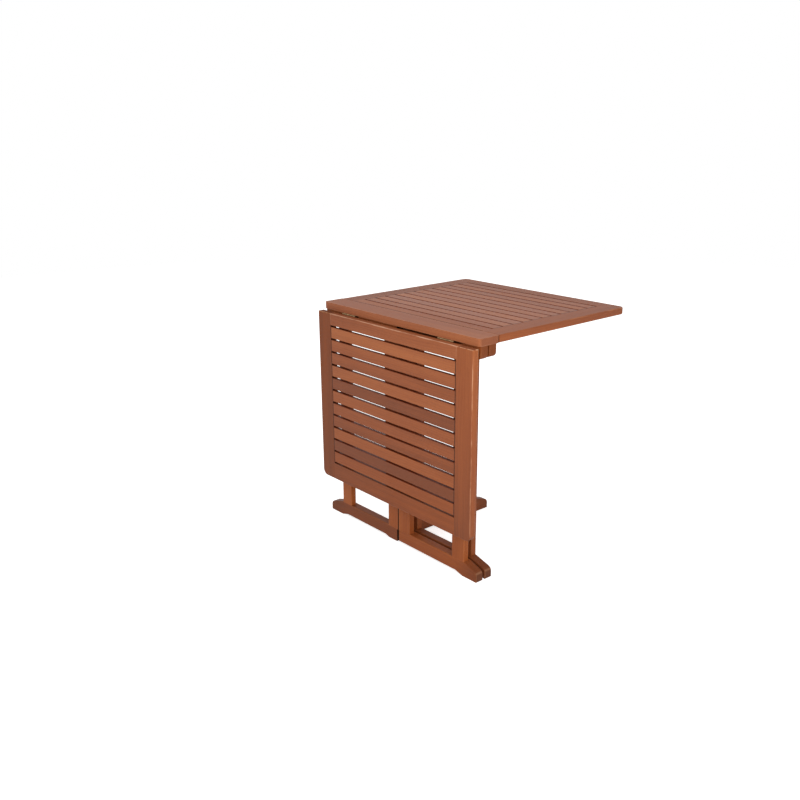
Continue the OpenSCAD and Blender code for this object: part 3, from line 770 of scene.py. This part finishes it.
def timber_material(slot):
    """The hardwood of one slot: grain, tone of each piece, end grain, wear, painted light and shade,
    roughness and relief.
    """
    name = f"oiled_{slot}"
    found = bpy.data.materials.get(name)
    if found:
        return found
    colours = bpy.context.scene.table_timber
    material, bench, shader = new_material(name)
    at = {"Position": bench.mark("at", "Vector"), "Seed": bench.mark("seed")}
    wood = bench.group("Hardwood figure", build_hardwood, {**at, "Ring Spacing": colours.ring_spacing})
    wear = bench.group("Arris wear", build_arris_wear, {
        **at, "Half Size": bench.mark("half", "Vector"), "Width": colours.wear_width})
    grime = bench.group("Grime", build_grime, at)

    tone = bench.mark("tone")
    for part, weight in (("Figure", -0.45), ("Bands", 0.9), ("Fibre", 0.9)):
        tone = bench.times_plus(bench.math("SUBTRACT", wood[part], 0.5), weight, tone)
    tone = bench.times_plus(grime["Blotches"], -0.16, tone)
    colour = bench.mix(bench.times(tone, -1.0, clamp=True), colours.middle, colours.deep)
    colour = bench.mix(bench.times(tone, 1.0, clamp=True), colour, colours.light)

    facing_end = bench.mark("end")
    end = bench.step(facing_end, 0.5, 0.95)
    near_end = bench.times(bench.mark("stain"), wear["Near End"])
    # Painted highlight on the rounding of a foot's tip, where its faces turn that far to the foot's end
    from_nose = bench.math("ABSOLUTE", bench.math("SUBTRACT", facing_end, NOSE_TURN))
    covers = [
        (wood["Pores"], 0.35, colours.pore_and_shade),
        (near_end, 0.6, colours.stained),
        (end, bench.times_plus(near_end, 0.5, 0.3), colours.end_grain),
        (bench.step(from_nose, 0.05, 0.13, 0.35, 0.0), near_end, colours.bleached),
        # Pale arrises: a little real wear everywhere, and painted highlights along a leaf's edges
        (wear["Wear"], bench.mark("rubbed"), colours.worn_and_lit)]
    if slot == "slat_timber":
        # Painted shade on a slat's sides along its gaps and at its ends against the stiles
        covers += [(wear["Sides"], 0.75, colours.gap_shade), (wear["Ends"], 0.85, colours.pore_and_shade)]
    else:
        # Painted shade in the seams of the base, in a leaf's joints with its slats and along the raised
        # leaf's hinge edge
        close = bench.step(bench.mark("to_painted_shade"), 0.0004, 0.0016, 1.0, 0.0)
        covers.append((close, 0.9, colours.seam if slot == "frame_timber" else colours.pore_and_shade))
    for mask, share, cover in covers:
        colour = bench.mix(bench.times(mask, share), colour, cover)
    # Warm tint from fresh oiling and painted warm light; pallor from sun bleaching and painted sheen
    oil = bench.mark("oil")
    colour = bench.mix(bench.times(oil, 1.0, clamp=True), colour, colours.fresh_oil_and_warm_light, "MULTIPLY")
    colour = bench.mix(bench.times(oil, -1.0, clamp=True), colour, colours.bleached)

    rough = bench.times_plus(wood["Fibre"], 0.14, 0.40)
    rough = bench.times_plus(end, 0.15, rough)
    rough = bench.times_plus(wear["Wear"], -0.06, rough)
    height = bench.times_plus(wood["Pores"], -0.5, bench.times(wood["Fibre"], 0.6))
    finish_surface(bench, shader, colour, rough, height, 0.3, 0.0003)
    shader.inputs["Specular IOR Level"].default_value = 0.12
    return material


def brass_material():
    """Brass that has dulled outdoors: bright where hands polish it, brown film elsewhere."""
    colours = bpy.context.scene.table_hinges
    material, bench, shader = new_material("dulled_brass")
    at = bench.add("ShaderNodeTexCoord").outputs["Object"]
    film = bench.step(bench.noise(at, (110, 110, 110), 5.0, 0.7), 0.25, 0.7, 0.1, 0.85)
    specks = bench.step(bench.noise(at, (1500, 1500, 1500)), 0.62, 0.75)
    colour = bench.mix(film, colours.brass, colours.tarnish)
    colour = bench.mix(bench.times(specks, 0.5), colour, colours.tarnish)
    brushed = bench.noise(at, (300, 4000, 4000))
    finish_surface(bench, shader, colour, bench.times_plus(film, 0.25, 0.24), brushed, 0.15, 0.0001)
    shader.inputs["Metallic"].default_value = 1.0
    return material


# Rows of repeated parts, made by geometry nodes

def open_row(name, inputs):
    """A new geometry tree with named inputs: its bench and its inputs."""
    return open_tree(name, "GeometryNodeTree", ("Geometry", *inputs), ("Geometry",))


def close_row(bench, points, instance, material):
    """Puts the instance on every point, makes it real and gives it its material."""
    placed = bench.make("GeometryNodeInstanceOnPoints", {"Points": points, "Instance": instance})
    real = bench.make("GeometryNodeRealizeInstances", {"Geometry": placed})
    painted = bench.make("GeometryNodeSetMaterial", {"Geometry": real, "Material": material})
    bench.add("NodeGroupOutput", {"Geometry": painted})
    return bench.tree


def build_slat_row(name):
    """Slats on a row of points: squared bars, each with its place in its own timber stored."""
    bench, given = open_row(
        name, ("Length", "Width", "Thickness", "Play", "Random Seed", "Material"))
    size = bench.make("ShaderNodeCombineXYZ",
                      {"X": given["Length"], "Y": given["Width"], "Z": given["Thickness"]})
    bar = bench.make("GeometryNodeMeshCube", {"Size": size})
    normal = bench.make("GeometryNodeInputNormal")
    ends = bench.add("ShaderNodeSeparateXYZ", {"Vector": bench.vector("ABSOLUTE", normal)}).outputs["X"]
    for label, kind, domain, value in (
            ("timber_at", "FLOAT_VECTOR", "POINT", bench.make("GeometryNodeInputPosition")),
            ("timber_half", "FLOAT_VECTOR", "POINT", bench.scale(size, 0.5)),
            ("timber_end", "FLOAT", "FACE", ends)):
        bar = bench.make("GeometryNodeStoreNamedAttribute",
                         {"Geometry": bar, "Name": label, "Value": value}, data_type=kind, domain=domain)
    play = bench.add("FunctionNodeRandomValue", {"Seed": given["Random Seed"]}, data_type="FLOAT")
    shift = bench.times(bench.times_plus(play.outputs[1], 2.0, -1.0), given["Play"])
    sideways = bench.make("ShaderNodeCombineXYZ", {"Y": shift})
    points = bench.make("GeometryNodeSetPosition", {"Geometry": given["Geometry"], "Offset": sideways})
    return close_row(bench, points, bar, given["Material"])


def build_screw_row(name):
    """Countersunk screws on points, pointing up, each with a slot across its head."""
    bench, given = open_row(
        name, ("Head Radius", "Head Depth", "Shank Radius", "Length", "Slot Width", "Material"))
    head = bench.make("GeometryNodeMeshCone", {
        "Vertices": 24, "Radius Top": given["Shank Radius"], "Radius Bottom": given["Head Radius"],
        "Depth": given["Head Depth"]})
    slot_size = bench.make("ShaderNodeCombineXYZ", {
        "X": bench.times(given["Head Radius"], 3.0), "Y": given["Slot Width"],
        "Z": given["Head Depth"]})
    slot = bench.make("GeometryNodeMeshCube", {"Size": slot_size})
    cut = bench.make("GeometryNodeMeshBoolean", {"Mesh 1": head, "Mesh 2": slot}, operation="DIFFERENCE")
    shank = bench.make("GeometryNodeMeshCylinder", {
        "Vertices": 12, "Radius": given["Shank Radius"],
        "Depth": bench.math("SUBTRACT", given["Length"], given["Head Depth"])})
    height = bench.times_plus(given["Length"], 0.5, given["Head Depth"])
    raised = bench.make("GeometryNodeTransform", {
        "Geometry": shank, "Translation": bench.make("ShaderNodeCombineXYZ", {"Z": height})})
    screw = bench.add("GeometryNodeJoinGeometry")
    for part in (cut, raised):
        bench.feed(screw.inputs[0], part)
    return close_row(bench, given["Geometry"], screw.outputs[0], given["Material"])


def make_row(name, tree, points, values, marks):
    """An object of points with marks and a geometry tree, whose inputs are set by identifier."""
    mesh = bpy.data.meshes.new(name)
    mesh.from_pydata(points, [], [])
    for label, numbers in marks.items():
        store(mesh, f"timber_{label}", numbers)
    row = new_object(name, mesh)
    modifier = row.modifiers.new(tree.name, "NODES")
    modifier.node_group = tree
    for item in tree.interface.items_tree:
        if item.in_out == "INPUT" and item.name in values:
            modifier[item.identifier] = values[item.name]
    return row


# Operators, one for each group of pieces

class TABLE_OT_centre_board(bpy.types.Operator):
    """Make the narrow fixed board that the leaves hang from"""

    bl_idname = "table.centre_board"
    bl_label = "Centre Board"

    def execute(self, context):
        settings = context.scene.table_timber
        low, high = local_box("centre_board", Matrix.Identity(4))

        def shade(p):
            """Painted light on the board: lighter to the right, most in front, none on that end."""
            if p.x > high.x - ON_FACE:
                return 0.0
            return BOARD_RIGHT * p.x / high.x + (BOARD_FRONT if p.y < low.y + ON_FACE else BOARD_TOP)

        make_timber("centre_board", "base", "top_timber",
                    rectangle(low, high, [settings.board_corner] * 2 + [settings.inner_corner] * 2),
                    low, high, Matrix.Identity(4), LEAF_RAIL, easing=settings.board_easing,
                    weigh=lambda p: BOARD_INNER_SHARE if p.y > high.y - INNER_EDGE else 1.0,
                    lighter=shade)
        return {"FINISHED"}


class TABLE_OT_leaf_frames(bpy.types.Operator):
    """Make the stiles, rails and batten of both leaves"""

    bl_idname = "table.leaf_frames"
    bl_label = "Leaf Frames"

    def execute(self, context):
        for side, place in LEAF_PLACES.items():
            self.make_leaf(side, place, context.scene.table_timber)
        return {"FINISHED"}

    def make_leaf(self, side, place, settings):
        """One leaf without its slats."""
        body = f"{side}_leaf"
        radius = settings.leaf_corner
        let_in = RAIL_LET_IN * settings.leaf_easing * settings.inner_share
        hinge_edge, field_start = (end.y for end in local_box(f"{body}_inner_rail", place))
        field_end, outer_edge = (end.y for end in local_box(f"{body}_outer_rail", place))
        sides = [abs(end.x) for end in local_box(f"{body}_left_stile", place)]
        inner, half = min(sides), max(sides)

        def outside(p):
            """Whether a point lies on the outer border; a raised leaf's hinge edge doesn't count."""
            if side == "rear" and p.y < hinge_edge + BORDER:
                return False
            return min(half - abs(p.x), p.y - hinge_edge, outer_edge - p.y) < BORDER

        def ease(p):
            """Share of the easing: less along the hinge edge and least inside the leaf."""
            if not outside(p):
                return settings.inner_share
            return HINGE_EDGE_SHARE if p.y < hinge_edge + BORDER else 1.0

        def painted_edge_highlight(p):
            """Painted highlight on a leaf's arrises: most along a bare hinge edge, none along the outer
            edge.
            """
            if not outside(p) or p.y > outer_edge - BORDER:
                return 0.0
            if p.y < hinge_edge + BORDER:
                return HINGE_EDGE_HIGHLIGHT - HINGE_HIGHLIGHT_FADE * p.x / half
            return LEAF_SIDE_HIGHLIGHT

        def shade_stile(p):
            """Tone added to a stile: painted light on the front side faces; the right one darkens away
            from the hinge.
            """
            along = (p.y - hinge_edge) / (outer_edge - hinge_edge) - 0.5
            if side == "rear":
                return -REAR_STILE_FADE * along if p.x > 0 else 0.0
            side_face = FRONT_SIDE_FACE if half - abs(p.x) < ON_FACE else 0.0
            return side_face - (FRONT_STILE_FADE * along if p.x < 0 else 0.0)

        def shade_rail(p):
            """How much lighter a rail is: painted light makes a front one darker towards the left."""
            return -FRONT_RAIL_FADE * p.x / half if side == "front" else 0.0

        manner = {
            "easing": settings.leaf_easing,
            "weigh": ease,
            "rubbed": painted_edge_highlight,
            # Painted shade where the leaf's frame meets its slats
            "to_painted_shade": lambda p: max(abs(p.x) - inner, field_start - p.y, p.y - field_end),
        }
        for hand in ("left", "right"):
            name = f"{body}_{hand}_stile"
            low, high = local_box(name, place @ LEAF_STILE)
            if abs(low.y) > abs(high.y):
                points = [(low.x, low.y), (high.x, low.y), (high.x, high.y),
                          (field_end, high.y), (field_start, high.y), (low.x, high.y)]
                radii = (0, radius, 0, 0, 0, 0)
            else:
                points = [(low.x, low.y), (field_start, low.y), (field_end, low.y),
                          (high.x, low.y), (high.x, high.y), (low.x, high.y)]
                radii = (0, 0, 0, 0, radius, 0)
            make_timber(name, body, "top_timber", rounded(points, radii), low, high,
                        place, LEAF_STILE, lighter=shade_stile, **manner)
        for rail in ("outer", "inner"):
            if (side, rail) == ("rear", "inner"):
                # Painted shade only along the raised leaf's hinge edge, beside the board
                manner["to_painted_shade"] = lambda p: p.y - hinge_edge
            make_bar(f"{body}_{rail}_rail", body, "top_timber", place, LEAF_RAIL,
                     (-inner - let_in, inner + let_in), lighter=shade_rail, **manner)
        make_bar(f"{body}_batten", body, "slat_timber", place, LEAF_STILE)


class TABLE_OT_slats(bpy.types.Operator):
    """Make the slats of both leaves with one row of geometry nodes for each"""

    bl_idname = "table.slats"
    bl_label = "Slats"

    def execute(self, context):
        tree = build_slat_row("Slat row")
        for side, place in LEAF_PLACES.items():
            body = f"{side}_leaf"
            nodes = [f"{body}_slat_{k + 1}" for k in range(SLAT_COUNT)]
            boxes = [local_box(node, place) for node in nodes]
            inner = min(abs(end.x) for end in local_box(f"{body}_left_stile", place))
            size = boxes[0][1] - boxes[0][0]
            centres = [(low + high) / 2 - Y_AXIS * creep
                       for (low, high), creep in zip(boxes, SLAT_DRIFT[side])]
            row = make_row(
                f"{body}_slats", tree, centres,
                {"Length": 2 * inner, "Width": size.y, "Thickness": size.z, "Play": SLAT_PLAY,
                 "Random Seed": SLAT_SEED, "Material": timber_material("slat_timber")},
                {"tone": SLAT_TONES[side], "oil": SLAT_OIL_AND_LIGHT[side],
                 "seed": [seed_of(node) for node in nodes]})
            ease_arrises(row, context.scene.table_timber.slat_easing)
            settle(row).transform(place)
            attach(row, body)
            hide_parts(*nodes)
        return {"FINISHED"}


class TABLE_OT_frames(bpy.types.Operator):
    """Make the two fixed frames that carry the centre board"""

    bl_idname = "table.frames"
    bl_label = "Fixed Frames"

    def execute(self, context):
        for side, place in FRAME_PLACES.items():
            make_base_part(f"{side}_frame", "base", place, FRAME_RAIL, "inner", frame_top_outline)
        return {"FINISHED"}


class TABLE_OT_gates(bpy.types.Operator):
    """Make the two gates that swing out under the leaves"""

    bl_idname = "table.gates"
    bl_label = "Gates"

    def execute(self, context):
        for side, place in GATE_PLACES.items():
            body = f"{side}_gate"
            make_base_part(body, body, place, GATE_RAIL, "hinge", gate_top_outline)
        return {"FINISHED"}


class TABLE_OT_hinges(bpy.types.Operator):
    """Finish the hinges in dulled brass and set their slotted screws"""

    bl_idname = "table.hinges"
    bl_label = "Hinges"

    def execute(self, context):
        brass = brass_material()
        for name, node in frame["nodes"].items():
            if "hinge" in name and "upright" not in name:
                node.data.materials.clear()
                node.data.materials.append(brass)
        hinges = context.scene.table_hinges
        tree = build_screw_row("Countersunk screws")
        pitch = hinges.leaf_hinge_length / hinges.screws
        along = [side * hinges.leaf_hinge_x + pitch * (i + 0.5) - hinges.leaf_hinge_length / 2
                 for side in (-1, 1) for i in range(hinges.screws)]
        across = (hinges.knuckle_radius + hinges.knuckle_gap + hinges.plate_width) / 2
        up = hinges.knuckle_radius - hinges.plate_thickness
        values = {"Head Radius": hinges.screw_head, "Head Depth": hinges.plate_thickness,
                  "Shank Radius": hinges.screw_radius, "Length": hinges.screw_length,
                  "Slot Width": hinges.slot_width, "Material": brass}
        half_gap = (rear_hinge.y - front_hinge.y) / 2
        board = [(x, side * (half_gap - across), rear_hinge.z + up) for side in (-1, 1) for x in along]
        leaf = [(x, across, up) for x in along]
        for node, body, points, place in (
                ("board_hinge_screws", "base", board, middle),
                ("front_leaf_hinge_screws", "front_leaf", leaf, LEAF_PLACES["front"]),
                ("rear_leaf_hinge_screws", "rear_leaf", leaf, LEAF_PLACES["rear"])):
            row = make_row(f"{node}_slotted", tree, points, values, {})
            settle(row).transform(place)
            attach(row, body)
            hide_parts(node)
        return {"FINISHED"}


class TABLE_OT_stage(bpy.types.Operator):
    """Set the pale floor, the soft lights and the camera"""

    bl_idname = "table.stage"
    bl_label = "Stage"

    def execute(self, context):
        stage = context.scene.table_stage
        self.make_floor(stage)
        self.make_world(stage)
        self.make_lamp("key", (2.3, -1.7, 1.1), 1.8, stage.key_power)
        self.make_lamp("fill", (-1.6, -3.4, 1.6), 2.6, stage.fill_power)
        self.make_lamp("overhead", (0.2, -0.4, 3.2), 2.6, stage.overhead_power)
        self.make_camera(stage)
        context.scene.view_settings.view_transform = "Standard"
        return {"FINISHED"}

    def seen_ray(self, bench):
        """1 for what the camera sees, directly or in a gloss or through glass."""
        path = bench.add("ShaderNodeLightPath").outputs
        gloss = bench.math("MAXIMUM", path["Is Camera Ray"], path["Is Glossy Ray"])
        return bench.math("MAXIMUM", gloss, path["Is Transmission Ray"])

    def make_floor(self, stage):
        """A round floor that looks white and keeps the table's shadow."""
        shape = bmesh.new()
        bmesh.ops.create_circle(shape, cap_ends=True, segments=96, radius=stage.floor_radius)
        mesh = mesh_of(shape, "floor")
        mesh.transform(Matrix.Translation(-Z_AXIS * FLOOR_DROP))
        floor = new_object("floor", mesh)
        material, bench, shader = new_material("floor")
        material.node_tree.nodes.remove(shader)
        plain = bench.make("ShaderNodeBsdfDiffuse", {"Color": (0.8, 0.8, 0.8, 1)})
        white = bench.make("ShaderNodeBsdfDiffuse", {"Color": (1, 1, 1, 1)})
        glow = bench.make("ShaderNodeEmission", {"Color": (1, 1, 1, 1), "Strength": stage.floor_glow})
        bright = bench.make("ShaderNodeAddShader", {0: white, 1: glow})
        mixed = bench.make("ShaderNodeMixShader", {0: self.seen_ray(bench), 1: plain, 2: bright})
        bench.feed(material.node_tree.nodes["Material Output"].inputs["Surface"], mixed)
        mesh.materials.append(material)

    def make_world(self, stage):
        """Soft light from all sides, and white where the background itself is seen."""
        world = bpy.data.worlds.new("studio")
        world.use_nodes = True
        bpy.context.scene.world = world
        bench = NodeBench(world.node_tree)
        seen = self.seen_ray(bench)
        level = bench.make("ShaderNodeMix", {0: seen, 2: stage.world_level, 3: 1.0})
        background = world.node_tree.nodes["Background"]
        bench.feed(background.inputs["Color"], (1, 1, 1, 1))
        bench.feed(background.inputs["Strength"], level)

    def make_lamp(self, name, place, size, power):
        """A large soft lamp that points at the front of the table."""
        lamp = bpy.data.lights.new(name, "AREA")
        lamp.shape = "SQUARE"
        lamp.size = size
        lamp.energy = power
        turn = (Vector(place) - LAMP_AIM).to_track_quat("Z", "Y").to_matrix().to_4x4()
        new_object(name, lamp).matrix_world = Matrix.Translation(place) @ turn

    def make_camera(self, stage):
        """The camera, at the photograph's angle."""
        camera = bpy.data.cameras.new("camera")
        camera.lens = stage.lens
        camera.sensor_width = 36
        camera.sensor_fit = "HORIZONTAL"
        holder = new_object("camera", camera)
        turn = Matrix.Rotation(stage.camera_azimuth, 4, "Z")
        lean = Matrix.Rotation(math.pi / 2 - stage.camera_elevation, 4, "X")
        roll = Matrix.Rotation(stage.camera_roll, 4, "Z")
        holder.matrix_world = Matrix.Translation(stage.camera_place) @ turn @ lean @ roll
        bpy.context.scene.camera = holder


class TABLE_PT_panel(bpy.types.Panel):
    """Sidebar panel that lists the settings and the steps"""

    bl_idname = "TABLE_PT_panel"
    bl_label = "Garden Table"
    bl_space_type = "VIEW_3D"
    bl_region_type = "UI"
    bl_category = "Garden Table"

    def draw(self, context):
        for name in GROUPS:
            settings = getattr(context.scene, name)
            box = self.layout.box()
            box.label(text=name.removeprefix("table_").title())
            for field in settings.__annotations__:
                box.prop(settings, field)
        for operator in OPERATORS:
            self.layout.operator(operator.bl_idname)


GROUPS = {"table_timber": TimberSettings, "table_base": BaseSettings,
          "table_hinges": HingeSettings, "table_stage": StageSettings}
OPERATORS = (TABLE_OT_centre_board, TABLE_OT_leaf_frames, TABLE_OT_slats, TABLE_OT_frames,
             TABLE_OT_gates, TABLE_OT_hinges, TABLE_OT_stage)


def register():
    for name, group in GROUPS.items():
        bpy.utils.register_class(group)
        setattr(bpy.types.Scene, name, PointerProperty(type=group))
    for operator in OPERATORS:
        bpy.utils.register_class(operator)
    bpy.utils.register_class(TABLE_PT_panel)


def unregister():
    bpy.utils.unregister_class(TABLE_PT_panel)
    for operator in reversed(OPERATORS):
        bpy.utils.unregister_class(operator)
    for name, group in GROUPS.items():
        delattr(bpy.types.Scene, name)
        bpy.utils.unregister_class(group)


def main():
    register()
    bpy.ops.table.centre_board()
    bpy.ops.table.leaf_frames()
    bpy.ops.table.slats()
    bpy.ops.table.frames()
    bpy.ops.table.gates()
    bpy.ops.table.hinges()
    bpy.ops.table.stage()


if __name__ == "__main__":
    main()
